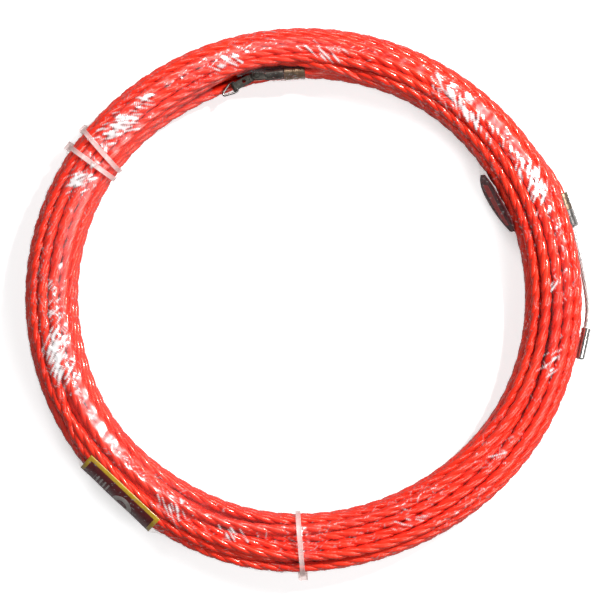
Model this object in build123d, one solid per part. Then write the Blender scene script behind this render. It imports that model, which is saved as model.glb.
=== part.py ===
from build123d import *
import math
import os

# A coil of three-strand fish tape, tied and wrapped in clear film, with a wire-rope leader on its
# outer end and a hinged pulling eye on its inner end. Millimetres, +Z up. The origin is the middle
# of the coil's outline, on the surface that the coil lies on.

# Coil
ROD_RADIUS = 3.0
COIL_HEIGHT = 30.0
COIL_CORNER = 13.5
OUTER_X, OUTER_Y = 159.5, 154.7
HOLE_X, HOLE_Y = 127.5, 124.2
HOLE_SHIFT = (-1.5, 1.5)
FILM = 0.3

# Leader on the outer end, from the sleeve's mouth on
LEAD_START = (147.2, 60.0, 10.5)
LEAD_HEADING = -71.0
LEAD_SLEEVE_RADIUS, LEAD_SLEEVE_LENGTH = 4.0, 10.0
LEAD_ADAPTER_RADIUS, LEAD_ADAPTER_LENGTH = 4.3, 10.4
LEAD_RUN_RADIUS, LEAD_RUN_TURN = 100.0, 34.0
ROPE_RADIUS = 1.5
ROPE_GRIP = 7.0
ROPE_OUT, ROPE_IN = 6.0, 5.5
ROPE_BOW = ((159.9, 17.6, 10.5), (162.9, 1.0, 10.5))
ROPE_CORNER_SHARE = 0.45
TIP_START = (162.2, -17.0, 10.5)
TIP_HEADING = -102.5
TIP_RADIUS, TIP_LENGTH = 2.7, 18.4
TIP_NOSE_ROUNDING = 1.6

# Pulling eye on the inner end, from the sleeve's mouth on
TAIL_START = (0.7, 129.2, 18.0)
TAIL_HEADING = 184.0
TAIL_SLEEVE_RADIUS, TAIL_SLEEVE_LENGTH = 3.9, 12.0
TAIL_BARREL_RADIUS, TAIL_BARREL_LENGTH = 3.4, 11.0
TAIL_RUN_LENGTH = 16.0
FORK_LENGTH, FORK_WIDTH, FORK_SLOT, FORK_ROUNDING = 7.2, 5.4, 3.0, 2.65
FORK_PIN_BACK, FORK_ROOT, FORK_FLOOR = 2.7, 1.0, 0.5
LINK_PIN_RADIUS, LINK_PIN_HEAD_RADIUS, LINK_PIN_HEAD = 1.1, 1.8, 0.6
LINK_BEND = 24.0
LINK_WIDTH, LINK_HEIGHT = 4.0, 5.6
LINK_TONGUE, LINK_LENGTH = 4.6, 16.0
LINK_NOSE_ROUNDING, LINK_HEEL_CHAMFER = 1.6, 0.5
WIRE_HOLE_RADIUS, WIRE_HOLE_AT = 1.1, 8.2
RING_AT, RING_WIRE_RADIUS = 13.6, 0.65
RING_HALF_WIDTH, RING_SHOULDER, RING_REACH, RING_SKEW = 2.9, 2.8, 8.4, 0.9
RING_TIP_HALF_WIDTH, RING_ROUNDING = 0.8, 0.7
HINGE_GAP, TONGUE_GAP, TRAVEL_GAP = 0.06, 0.15, 0.5
INWARD_TRAVEL = 12.0
WIRE_ROOM = 9.0
THREAD_RADIUS, THREAD_LENGTH = 2.0, 3.5
LEAD_GRIP, TAIL_GRIP = 6.5, 7.5
EDGE_CHAMFER, ADAPTER_CHAMFER, BARREL_CHAMFER = 0.3, 0.4, 0.35
THROUGH = 20.0

# Cable ties: where each crosses the top of the coil, and the heading of its strap there
TIE_WIDTH, TIE_THICKNESS = 3.4, 1.1
TIE_HEAD_WIDTH, TIE_HEAD_HEIGHT = 5.4, 6.0
TIE_HEAD_OUT, TIE_HEAD_SINK = 3.65, 1.5
TIE_BOTTOM, TIE_BOTTOM_HEAD = (-2.2, -136.0, -85.3), 17.5
TIE_UPPER_A, TIE_UPPER_A_HEAD = (-117.6, 87.0, 131.0), 8.0
TIE_UPPER_B, TIE_UPPER_B_HEAD = (-121.3, 77.6, 144.0), 12.0
TIE_REACH = 90.0

# Label card over the outer shoulder, and the folded leaflet inside the hole
CARD_HEADING = 226.7
CARD_LENGTH, CARD_THICKNESS = 53.0, 0.4
CARD_SINK = 0.1
CARD_TOP_ANGLE = 11.0
CARD_SKIRT = 9.0
LEAFLET_FROM, LEAFLET_TO = (101.9, 71.4), (119.9, 37.2)
LEAFLET_BULGE, LEAFLET_BACK = (105.4, 56.6), (120.4, 60.3)
LEAFLET_HEIGHT, LEAFLET_LOW = 16.0, 7.5
ROOM = (400.0, 400.0, 100.0)
STANDING = (Align.CENTER, Align.CENTER, Align.MIN)


def coil_shape(grow):
    """The wound ring's outer shape, grown by a distance all over."""
    hole = Pos(*HOLE_SHIFT) * Ellipse(HOLE_X - grow, HOLE_Y - grow)
    body = extrude(Ellipse(OUTER_X + grow, OUTER_Y + grow) - hole, COIL_HEIGHT + 2 * grow)
    rims = body.faces().filter_by(Axis.Z).edges()
    return Pos(0, 0, FILM - grow) * fillet(rims, COIL_CORNER + grow)


def along(start, heading):
    """A place whose X axis runs level along a heading, from a start point."""
    return Pos(*start) * Rot(0, 0, heading)


def rod(radius, start, end):
    """A round bar along X, between two places on it."""
    return Pos(start, 0, 0) * Rot(0, 90, 0) * Cylinder(
        radius, end - start, align=(Align.CENTER, Align.CENTER, Align.MIN)
    )


def grown_rod(radius, start, end, grow):
    """The same bar with a skin over its side and both ends."""
    return rod(radius + grow, start - grow, end + grow)


def block(low, high):
    """A box between two corners."""
    size = [b - a for a, b in zip(low, high)]
    middle = [(a + b) / 2 for a, b in zip(low, high)]
    return Pos(*middle) * Box(*size)


def lead_run(grow):
    """The rod's outer end: it lifts out of the coil's wall in one arc, then runs into the sleeve."""
    place = along(LEAD_START, LEAD_HEADING)
    grip = rod(ROD_RADIUS, 0, LEAD_GRIP)
    arc = CenterArc((0, -LEAD_RUN_RADIUS), LEAD_RUN_RADIUS, 90, LEAD_RUN_TURN)
    bend = sweep(Plane(arc @ 0, z_dir=arc % 0) * Circle(ROD_RADIUS + grow), arc)
    return place * (bend if grow else bend + grip)


def lead_sleeve():
    """A brass tube crimped on the rod, tapped at its other end."""
    body = rod(LEAD_SLEEVE_RADIUS, 0, LEAD_SLEEVE_LENGTH)
    body = chamfer(body.edges().filter_by(GeomType.CIRCLE), EDGE_CHAMFER)
    body -= rod(ROD_RADIUS, 0, LEAD_GRIP)
    body -= rod(THREAD_RADIUS, LEAD_GRIP, LEAD_SLEEVE_LENGTH)
    return along(LEAD_START, LEAD_HEADING) * body


def lead_adapter():
    """A plated barrel that screws into the sleeve and grips the wire rope."""
    end = LEAD_SLEEVE_LENGTH + LEAD_ADAPTER_LENGTH
    body = rod(LEAD_ADAPTER_RADIUS, LEAD_SLEEVE_LENGTH, end)
    body = chamfer(body.edges().filter_by(GeomType.CIRCLE), ADAPTER_CHAMFER)
    body += rod(THREAD_RADIUS, LEAD_SLEEVE_LENGTH - THREAD_LENGTH, LEAD_SLEEVE_LENGTH)
    body -= rod(ROPE_RADIUS, end - ROPE_GRIP, end)
    return along(LEAD_START, LEAD_HEADING) * body


def rope_points():
    """The leader's route, from inside its adapter to inside its tip."""
    out = along(LEAD_START, LEAD_HEADING)
    mouth = LEAD_SLEEVE_LENGTH + LEAD_ADAPTER_LENGTH
    tip = along(TIP_START, TIP_HEADING)
    return [
        (out * Pos(mouth - ROPE_GRIP, 0, 0)).position,
        (out * Pos(mouth + ROPE_OUT, 0, 0)).position,
        *(Vector(*point) for point in ROPE_BOW),
        (tip * Pos(-ROPE_IN, 0, 0)).position,
        (tip * Pos(ROPE_GRIP, 0, 0)).position,
    ]


def leader_rope():
    """The wire rope: straight runs with a smooth arc at every corner."""
    points = rope_points()
    runs = [b - a for a, b in zip(points, points[1:])]
    radii = []
    for before, after in zip(runs, runs[1:]):
        turn = math.radians(before.get_angle(after))
        radii.append(ROPE_CORNER_SHARE * min(before.length, after.length) / math.tan(turn / 2))
    path = FilletPolyline(*points, radius=radii)
    return sweep(Plane(path @ 0, z_dir=path % 0) * Circle(ROPE_RADIUS), path)


def tip_ferrule():
    """The blind sleeve with a rounded nose on the wire rope's far end."""
    body = rod(TIP_RADIUS, 0, TIP_LENGTH)
    rims = body.edges().filter_by(GeomType.CIRCLE).sort_by(Axis.X)
    body = fillet(rims[-1], TIP_NOSE_ROUNDING)
    body = chamfer(body.edges().filter_by(GeomType.CIRCLE).sort_by(Axis.X)[0], EDGE_CHAMFER)
    body -= rod(ROPE_RADIUS, 0, ROPE_GRIP)
    return along(TIP_START, TIP_HEADING) * body


def tail_run():
    """The rod's inner end: straight along the wall of the hole, then into the sleeve."""
    return along(TAIL_START, TAIL_HEADING) * rod(ROD_RADIUS, -TAIL_RUN_LENGTH, TAIL_GRIP)


def tail_sleeve():
    """The inner end's brass tube."""
    body = rod(TAIL_SLEEVE_RADIUS, 0, TAIL_SLEEVE_LENGTH)
    body = chamfer(body.edges().filter_by(GeomType.CIRCLE), EDGE_CHAMFER)
    body -= rod(ROD_RADIUS, 0, TAIL_GRIP)
    body -= rod(THREAD_RADIUS, TAIL_GRIP, TAIL_SLEEVE_LENGTH)
    return along(TAIL_START, TAIL_HEADING) * body


FORK_BASE = TAIL_SLEEVE_LENGTH + TAIL_BARREL_LENGTH
PIN_AT = FORK_BASE + FORK_LENGTH - FORK_PIN_BACK


def tail_adapter():
    """A round barrel that screws into the sleeve and ends in a fork."""
    barrel = rod(TAIL_BARREL_RADIUS, TAIL_SLEEVE_LENGTH, FORK_BASE)
    barrel = chamfer(barrel.edges().filter_by(GeomType.CIRCLE), BARREL_CHAMFER)
    half, ear = FORK_WIDTH / 2, LINK_HEIGHT / 2
    tip = FORK_BASE + FORK_LENGTH
    fork = block((FORK_BASE - FORK_ROOT, -half, -ear), (tip, half, ear))
    fork = fillet(fork.edges().filter_by(Axis.Z).sort_by(Axis.X)[-2:], FORK_ROUNDING)
    body = barrel + fork
    body += rod(THREAD_RADIUS, TAIL_SLEEVE_LENGTH - THREAD_LENGTH, TAIL_SLEEVE_LENGTH)
    body -= block((FORK_BASE + FORK_FLOOR, -THROUGH, -FORK_SLOT / 2), (tip + 1, THROUGH, FORK_SLOT / 2))
    body -= Pos(PIN_AT, 0, 0) * Cylinder(LINK_PIN_RADIUS, THROUGH)
    return along(TAIL_START, TAIL_HEADING) * body


def link_place():
    """The link's own place: its hinge pin, with X along the link."""
    pin = (along(TAIL_START, TAIL_HEADING) * Pos(PIN_AT, 0, 0)).position
    return along(tuple(pin), TAIL_HEADING + LINK_BEND)


def link_pin():
    """The hinge pin, riveted over both ears of the fork."""
    half = LINK_HEIGHT / 2
    head = Cylinder(LINK_PIN_HEAD_RADIUS, LINK_PIN_HEAD, align=STANDING)
    head = chamfer(head.edges().group_by(Axis.Z)[-1], EDGE_CHAMFER)
    body = Cylinder(LINK_PIN_RADIUS, LINK_HEIGHT) + Pos(0, 0, half) * head
    body += Pos(0, 0, -half) * Rot(180, 0, 0) * head
    return link_place() * body


def tail_link():
    """A flat tongue in the fork, then a solid block with a wire hole and the ring's cross hole."""
    tongue_half = FORK_SLOT / 2 - TONGUE_GAP
    half = LINK_WIDTH / 2
    tongue = block((0, -half, -tongue_half), (LINK_TONGUE + 2, half, tongue_half))
    tongue += Cylinder(half, 2 * tongue_half)
    solid = block((LINK_TONGUE, -half, -LINK_HEIGHT / 2), (LINK_LENGTH, half, LINK_HEIGHT / 2))
    solid = fillet(solid.edges().filter_by(Axis.Y).sort_by(Axis.X)[-2:], LINK_NOSE_ROUNDING)
    solid = chamfer(solid.edges().filter_by(Axis.Y).sort_by(Axis.X)[:2], LINK_HEEL_CHAMFER)
    body = tongue + solid
    body -= Cylinder(LINK_PIN_RADIUS + HINGE_GAP, THROUGH)
    body -= Pos(WIRE_HOLE_AT, 0, 0) * Cylinder(WIRE_HOLE_RADIUS, THROUGH)
    body -= Pos(RING_AT, 0, 0) * Rot(90, 0, 0) * Cylinder(RING_WIRE_RADIUS + HINGE_GAP, THROUGH)
    return link_place() * body


def ring_path():
    """The wire loop's centre line: a straight axle through the link, then two legs to a tip."""
    corners = [
        (0, -RING_HALF_WIDTH),
        (RING_SHOULDER, -RING_HALF_WIDTH),
        (RING_REACH, RING_SKEW - RING_TIP_HALF_WIDTH),
        (RING_REACH, RING_SKEW + RING_TIP_HALF_WIDTH),
        (RING_SHOULDER, RING_HALF_WIDTH),
        (0, RING_HALF_WIDTH),
    ]
    points = [(RING_AT + x, y, 0) for x, y in corners]
    loop = Polyline(*points, close=True)
    outline = make_face(loop.edges())
    return fillet(outline.vertices(), RING_ROUNDING).face().outer_wire()


def tail_ring():
    """The pulling eye: one closed loop of wire through the link."""
    path = ring_path()
    section = Plane(path @ 0, z_dir=path % 0) * Circle(RING_WIRE_RADIUS)
    return link_place() * sweep(section, path)


def travel_space(gap):
    """The space for the fork, pin, link and ring, open to the hole, and above the wire hole."""
    flat = LINK_HEIGHT / 2 + LINK_PIN_HEAD + gap
    side = RING_HALF_WIDTH + RING_WIRE_RADIUS + gap
    link_side = LINK_WIDTH / 2 + gap
    fork_side = FORK_WIDTH / 2 + gap
    far = LINK_LENGTH + RING_REACH
    space = Cylinder(math.hypot(LINK_TONGUE, LINK_WIDTH / 2) + gap, 2 * flat)
    space += block((-fork_side, -link_side, -flat), (RING_AT, INWARD_TRAVEL, flat))
    space += block((RING_AT - gap - 1, -side, -flat), (far, INWARD_TRAVEL, flat + RING_REACH))
    space += Pos(WIRE_HOLE_AT, 0, 0) * Cylinder(link_side, WIRE_ROOM + gap, align=STANDING)
    root = FORK_BASE - FORK_ROOT - 0.1
    fork = block((root, -fork_side, -flat), (PIN_AT + fork_side, fork_side, flat))
    return link_place() * space + along(TAIL_START, TAIL_HEADING) * fork


def tie_slab(tie, extra):
    """The level slab of space that a tie's strap runs in."""
    x, y, heading = tie
    slab = Box(TIE_REACH, TIE_WIDTH + 2 * extra, TIE_REACH)
    return Pos(x, y, COIL_HEIGHT / 2) * Rot(0, 0, heading) * slab


def tie_head_place(tie, high):
    """The tie's head, on the coil's outer wall at a height, with X out of the wall."""
    x, y, heading = tie
    out = Vector(math.cos(math.radians(heading)), math.sin(math.radians(heading)), 0)
    start = Vector(x, y, 0)
    low, far = 0.0, 60.0
    for _ in range(40):
        middle = (low + far) / 2
        at = start + out * middle
        inside = (at.X / OUTER_X) ** 2 + (at.Y / OUTER_Y) ** 2 < 1
        low, far = (middle, far) if inside else (low, middle)
    wall = start + out * low
    return Pos(wall.X, wall.Y, high) * Rot(0, 0, heading)


def tie_head(tie, high, grow):
    """The locking head, a plain block that is sunk into the wall behind it."""
    wide, tall = TIE_HEAD_WIDTH / 2 + grow, TIE_HEAD_HEIGHT / 2 + grow
    body = block((-TIE_HEAD_SINK, -wide, -tall), (TIE_HEAD_OUT + grow, wide, tall))
    return tie_head_place(tie, high) * body


BAND = coil_shape(TIE_THICKNESS)
CORE = coil_shape(0)
ABOVE_FLOOR = Box(*ROOM, align=STANDING)
ABOVE_FILM = Pos(0, 0, FILM) * ABOVE_FLOOR
SUNK = Pos(0, 0, FILM) * Box(ROOM[0], ROOM[1], TIE_THICKNESS, align=STANDING)
TIES = {
    "tie_bottom": (TIE_BOTTOM, TIE_BOTTOM_HEAD),
    "tie_upper_a": (TIE_UPPER_A, TIE_UPPER_A_HEAD),
    "tie_upper_b": (TIE_UPPER_B, TIE_UPPER_B_HEAD),
}


def tie(name):
    """One moulded tie: a strap round the bundle, sunk into it underneath, with its locking head."""
    where, high = TIES[name]
    slab = tie_slab(where, 0)
    strap = (BAND & slab) - CORE
    strap += CORE & slab & SUNK
    strap &= ABOVE_FILM
    head = tie_head(where, high, 0)
    return strap + (head - CORE)


def card(grow):
    """The label card: straight along its length, bent over the outer shoulder and down the wall."""
    heading = math.radians(CARD_HEADING)
    wall = math.hypot(OUTER_X * math.cos(heading), OUTER_Y * math.sin(heading))
    stand = CARD_THICKNESS / 2 - CARD_SINK
    bend = COIL_CORNER + stand
    wall += stand
    top = FILM + COIL_HEIGHT + stand
    edge = CARD_TOP_ANGLE - math.degrees(grow / bend)
    line = CenterArc((wall - bend, top - bend), bend, 0, 90 - edge)
    line += Line((wall, top - bend), (wall, top - bend - CARD_SKIRT - grow))
    strip = trace(line, CARD_THICKNESS + 2 * grow)
    sheet = extrude(Plane.XZ * strip, CARD_LENGTH / 2 + grow, both=True)
    return Rot(0, 0, CARD_HEADING) * sheet


def leaflet(grow):
    """The folded leaflet: a lens between the wall of the hole and its own bulge."""
    front = ThreePointArc(LEAFLET_FROM, LEAFLET_BULGE, LEAFLET_TO)
    back = ThreePointArc(LEAFLET_TO, LEAFLET_BACK, LEAFLET_FROM)
    lens = make_face([front, back])
    if grow:
        lens = offset(lens, grow)
    solid = extrude(lens, LEAFLET_HEIGHT + 2 * grow)
    return Pos(0, 0, LEAFLET_LOW - grow) * solid


def blisters():
    """What the film stands over, each grown by the film's thickness."""
    lead = along(LEAD_START, LEAD_HEADING)
    mid = LEAD_SLEEVE_LENGTH
    end = mid + LEAD_ADAPTER_LENGTH
    tail = along(TAIL_START, TAIL_HEADING)
    yield lead_run(FILM)
    yield lead * grown_rod(LEAD_SLEEVE_RADIUS, 0, mid, FILM)
    yield lead * grown_rod(LEAD_ADAPTER_RADIUS, mid, end, FILM)
    yield along(TIP_START, TIP_HEADING) * grown_rod(TIP_RADIUS, 0, TIP_LENGTH, FILM)
    yield tail * grown_rod(TAIL_SLEEVE_RADIUS, 0, FORK_BASE, FILM)
    yield card(FILM)
    yield leaflet(FILM)
    for where, high in TIES.values():
        yield coil_shape(TIE_THICKNESS + FILM) & tie_slab(where, FILM)
        yield tie_head(where, high, FILM)


def plugs():
    """The room that the fittings and the rod's ends take up, with no bores in it."""
    lead = along(LEAD_START, LEAD_HEADING)
    middle = LEAD_SLEEVE_LENGTH
    tail = along(TAIL_START, TAIL_HEADING)
    yield lead * rod(LEAD_SLEEVE_RADIUS, 0, middle)
    yield lead * rod(LEAD_ADAPTER_RADIUS, middle, middle + LEAD_ADAPTER_LENGTH)
    yield along(TIP_START, TIP_HEADING) * rod(TIP_RADIUS, 0, TIP_LENGTH)
    yield tail * rod(TAIL_SLEEVE_RADIUS, 0, TAIL_SLEEVE_LENGTH)
    yield tail * rod(TAIL_BARREL_RADIUS, TAIL_SLEEVE_LENGTH, FORK_BASE)


def take_away(body, pieces):
    for piece in pieces:
        body -= piece
    return body


def assembly():
    parts = {
        "rod_lead_run": lead_run(0),
        "rod_tail_run": tail_run(),
        "lead_sleeve": lead_sleeve(),
        "lead_adapter": lead_adapter(),
        "leader_rope": leader_rope(),
        "tip_ferrule": tip_ferrule(),
        "tail_sleeve": tail_sleeve(),
        "tail_adapter": tail_adapter(),
        "link_pin": link_pin(),
        "tail_link": tail_link(),
        "tail_ring": tail_ring(),
        "label_card": card(0),
        "leaflet": leaflet(0) - CORE,
    }
    parts |= {name: tie(name) for name in TIES}
    in_film = [*plugs(), parts["rod_lead_run"], parts["rod_tail_run"], parts["leader_rope"]]
    in_film += [parts["label_card"], parts["leaflet"]] + [parts[name] for name in TIES]
    coil = take_away(CORE, in_film)
    coil -= travel_space(TRAVEL_GAP)
    film = coil_shape(FILM)
    for blister in blisters():
        film += blister
    film = take_away(film & ABOVE_FLOOR, in_film + [CORE])
    film -= travel_space(TRAVEL_GAP + FILM)
    parts["rod_coil"] = coil
    parts["film_wrap"] = film
    return parts


os.makedirs("parts", exist_ok=True)
for node, solid in assembly().items():
    pieces = solid.solids()
    print(node, [round(piece.volume, 2) for piece in pieces])
    shape = pieces[0] if len(pieces) == 1 else Compound(label=node, children=pieces)
    export_step(shape, f"parts/{node}.step")
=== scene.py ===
"""Looks for the tied coil of fish tape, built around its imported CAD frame. Lengths here are millimetres
until a mesh or curve is made, and metres from there on."""

import math

import bmesh
import bpy
import numpy as np
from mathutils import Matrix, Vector, noise


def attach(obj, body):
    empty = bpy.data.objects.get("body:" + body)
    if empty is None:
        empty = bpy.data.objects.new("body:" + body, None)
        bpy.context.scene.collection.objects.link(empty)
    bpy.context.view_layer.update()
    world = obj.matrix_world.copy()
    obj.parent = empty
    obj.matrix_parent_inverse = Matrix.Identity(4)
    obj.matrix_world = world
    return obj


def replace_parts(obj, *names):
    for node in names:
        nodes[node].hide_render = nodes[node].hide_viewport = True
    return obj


MM = 0.001
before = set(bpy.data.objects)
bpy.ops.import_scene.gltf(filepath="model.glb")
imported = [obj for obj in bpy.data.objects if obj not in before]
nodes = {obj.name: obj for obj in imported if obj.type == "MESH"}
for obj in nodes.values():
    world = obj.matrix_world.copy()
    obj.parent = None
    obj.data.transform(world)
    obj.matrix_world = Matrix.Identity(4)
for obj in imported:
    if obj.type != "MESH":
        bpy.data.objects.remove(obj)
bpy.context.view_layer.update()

# The CAD model's own sizes that the looks follow
ROD_RADIUS, COIL_HEIGHT, COIL_CORNER, FILM = 3.0, 30.0, 13.5, 0.3
OUTER, HOLE, HOLE_SHIFT = (159.5, 154.7), (127.5, 124.2), (-1.5, 1.5)
LEAD_START, LEAD_HEADING = (147.2, 60.0, 10.5), -71.0
TIP_START, TIP_HEADING = (162.2, -17.0, 10.5), -102.5
TAIL_START, TAIL_HEADING = (0.7, 129.2, 18.0), 184.0
LINK_PIN, LINK_HEADING = (-26.733, 127.282, 18.0), 208.0
TIES = {
    "tie_bottom": ((-2.2, -136.0), -85.3, 17.5),
    "tie_upper_a": ((-117.6, 87.0), 131.0, 8.0),
    "tie_upper_b": ((-121.3, 77.6), 144.0, 12.0),
}
MIDDLE_HEIGHT = FILM + COIL_HEIGHT / 2
STRAND, LAID_AT, LAY = 2.05, 1.0, 31.0


# ---------------------------------------------------------------- helpers


def place(start, heading, x, y=0.0, z=0.0):
    """A point given in a level place's own axes, in the row frame."""
    c, s = math.cos(math.radians(heading)), math.sin(math.radians(heading))
    return np.array([start[0] + c * x - s * y, start[1] + s * x + c * y, start[2] + z])


def mesh_piece(name, points, faces, body, material, smooth=True):
    """A mesh from millimetre points, riding on a CAD body."""
    mesh = bpy.data.meshes.new(name)
    mesh.from_pydata((np.asarray(points) * MM).tolist(), [], faces)
    mesh.validate()
    mesh.polygons.foreach_set("use_smooth", [smooth] * len(mesh.polygons))
    obj = bpy.data.objects.new(name, mesh)
    bpy.context.scene.collection.objects.link(obj)
    mesh.materials.append(material)
    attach(obj, body)
    return obj


def route_spline(name, points, resolution):
    """The points of the smooth line that a cord's route makes, read from its NURBS spline."""
    curve = bpy.data.curves.new(name, "CURVE")
    curve.dimensions = "3D"
    curve.resolution_u = resolution
    spline = curve.splines.new("NURBS")
    spline.points.add(len(points) - 1)
    for control, point in zip(spline.points, points):
        control.co = (*(np.asarray(point) * MM), 1.0)
    spline.order_u = 3
    spline.use_endpoint_u = True
    holder = bpy.data.objects.new(name, curve)
    line = bpy.data.meshes.new_from_object(holder)
    found = np.array([v.co for v in line.vertices]) / MM
    bpy.data.objects.remove(holder)
    bpy.data.curves.remove(curve)
    bpy.data.meshes.remove(line)
    return found


def lengths_along(path):
    return np.concatenate([[0], np.cumsum(np.linalg.norm(np.diff(path, axis=0), axis=1))])


def level_frames(path):
    """A level sideways axis and the axis square to it, so that side x up = tangent."""
    tangent = np.gradient(path, axis=0)
    tangent /= np.linalg.norm(tangent, axis=1)[:, None]
    side = np.cross([0, 0, 1.0], tangent)
    side /= np.linalg.norm(side, axis=1)[:, None]
    up = np.cross(tangent, side)
    return side, up


def tube(path, radius, sides, side=None, up=None):
    """Points and faces of a closed tube. The radius may change along it."""
    if side is None:
        side, up = level_frames(path)
    turn = np.arange(sides) * 2 * math.pi / sides
    radius = np.broadcast_to(radius, (len(path),))[:, None, None]
    ring = np.cos(turn)[None, :, None] * side[:, None] + np.sin(turn)[None, :, None] * up[:, None]
    points = (path[:, None] + radius * ring).reshape(-1, 3)
    row = np.arange(len(path) - 1)[:, None] * sides
    here, there = np.arange(sides)[None], (np.arange(sides) + 1)[None] % sides
    quads = np.stack([row + here, row + there, row + sides + there, row + sides + here], -1)
    faces = quads.reshape(-1, 4).tolist()
    last = (len(path) - 1) * sides
    return points, faces + [list(range(sides))[::-1], list(range(last, last + sides))]


def laid_rope(path, strands, strand_radius, lay_radius, lay, sides):
    """Strands laid right-handed round a path, with the strand's own running lengths for its look."""
    side, up = level_frames(path)
    run = lengths_along(path)
    points, faces, along, around = [], [], [], []
    for k in range(strands):
        turn = (run / lay + k / strands) * 2 * math.pi
        c, s = np.cos(turn)[:, None], np.sin(turn)[:, None]
        out, across = c * side + s * up, -s * side + c * up
        strand_points, strand_faces = tube(path + lay_radius * out, strand_radius, sides, out, across)
        base = sum(len(p) for p in points)
        points.append(strand_points)
        faces += [[v + base for v in face] for face in strand_faces]
        along.append(np.repeat(run, sides) + 37.0 * k)
        around.append(np.tile(np.arange(sides) / sides, len(path)) + k)
    return np.concatenate(points), faces, np.concatenate(along), np.concatenate(around)


def band_faces(rows, width, closed):
    """Quads between neighbouring rows of points, round to the first again where they are closed."""
    faces = []
    for i in range(rows - 1):
        for j in range(width if closed else width - 1):
            k = (j + 1) % width
            faces.append([i * width + j, (i + 1) * width + j, (i + 1) * width + k, i * width + k])
    return faces


def number_on(obj, name, values):
    """One number for each point, which a material reads by its name."""
    obj.data.attributes.new(name, "FLOAT", "POINT").data.foreach_set(
        "value", np.asarray(values, np.float32)
    )


# ---------------------------------------------------------------- materials


class Look:
    """A material's node tree, with short ways to add nodes."""

    def __init__(self, name):
        self.material = bpy.data.materials.new(name)
        self.material.use_nodes = True
        self.tree = self.material.node_tree
        self.tree.nodes.clear()
        self.out = self.tree.nodes.new("ShaderNodeOutputMaterial")

    def node(self, kind, inputs=None, **settings):
        made = self.tree.nodes.new("ShaderNode" + kind)
        for key, value in settings.items():
            setattr(made, key, value)
        for key, value in (inputs or {}).items():
            if isinstance(value, bpy.types.NodeSocket):
                self.tree.links.new(value, made.inputs[key])
            else:
                made.inputs[key].default_value = value
        return made

    def ramp(self, factor, stops):
        made = self.node("ValToRGB", {"Fac": factor})
        while len(made.color_ramp.elements) < len(stops):
            made.color_ramp.elements.new(0.5)
        for element, (at, colour) in zip(made.color_ramp.elements, stops):
            element.position = at
            element.color = (*colour, 1.0)
        return made.outputs["Color"]

    def maths(self, operation, a, b=0.0):
        return self.node("Math", {0: a, 1: b}, operation=operation).outputs[0]

    def noise(self, where, scale, detail=3.0, rough=0.5):
        return self.node(
            "TexNoise", {"Vector": where, "Scale": scale, "Detail": detail, "Roughness": rough}
        ).outputs["Fac"]

    def place(self, scale=(1, 1, 1)):
        got = self.node("TexCoord").outputs["Object"]
        return self.node("Mapping", {"Vector": got, "Scale": scale}).outputs[0]

    def bump(self, height, strength, distance=0.0002):
        return self.node(
            "Bump", {"Height": height, "Strength": strength, "Distance": distance}
        ).outputs[0]

    def surface(self, shader):
        self.tree.links.new(shader, self.out.inputs["Surface"])
        return self.material


TIE_CLEARNESS = 0.55


def tape_look():
    """Orange-red polyester, faintly fibrous along its strands, with a clear skin."""
    look = Look("tape_polyester")
    along = look.node("Attribute", attribute_name="along").outputs["Fac"]
    around = look.node("Attribute", attribute_name="around").outputs["Fac"]
    fibre_place = look.node("CombineXYZ", {"X": look.maths("MULTIPLY", along, 0.03),
                                           "Y": look.maths("MULTIPLY", around, 9.0)}).outputs[0]
    fibres = look.noise(fibre_place, 3.0, 2.0)
    patches = look.noise(look.place(), 38.0, 2.0)
    colour = look.ramp(patches, [(0.3, (0.8, 0.016, 0.005)), (0.7, (0.95, 0.032, 0.009))])
    shader = look.node("BsdfPrincipled", {
        "Base Color": colour, "Roughness": 0.3, "Coat Weight": 0.6, "Coat Roughness": 0.12,
        "Specular Tint": (1.0, 0.8, 0.6, 1.0), "Coat Tint": (1.0, 0.97, 0.92, 1.0),
        "Normal": look.bump(fibres, 0.35, 0.0002)})
    return look.surface(shader.outputs[0])


def metal_look(name, dark, light, rough_low, rough_high):
    """Bare or plated metal with stains and a fine grain."""
    look = Look(name)
    where = look.place()
    stain = look.noise(where, 260.0, 4.0, 0.6)
    fine = look.noise(look.place((1, 1, 0.25)), 900.0, 3.0)
    colour = look.ramp(stain, [(0.3, dark), (0.65, light)])
    rough = look.node("MapRange", {"Value": fine, "To Min": rough_low, "To Max": rough_high}).outputs[0]
    shader = look.node("BsdfPrincipled", {
        "Base Color": colour, "Metallic": 1.0, "Roughness": rough, "Normal": look.bump(fine, 0.15, 0.00005)})
    return look.surface(shader.outputs[0])


def nylon_look():
    """Pale nylon that what lies under it shows through."""
    look = Look("tie_nylon")
    cloud = look.noise(look.place(), 160.0, 2.0)
    shader = look.node("BsdfPrincipled", {
        "Base Color": look.ramp(cloud, [(0.3, (0.92, 0.8, 0.78)), (0.7, (0.97, 0.9, 0.88))]),
        "Roughness": 0.3, "IOR": 1.5, "Normal": look.bump(cloud, 0.1)})
    clear = look.node("BsdfTransparent", {"Color": (1, 0.93, 0.92, 1)})
    both = look.node("MixShader", {0: TIE_CLEARNESS, 1: shader.outputs[0], 2: clear.outputs[0]})
    return look.surface(both.outputs[0])


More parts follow.
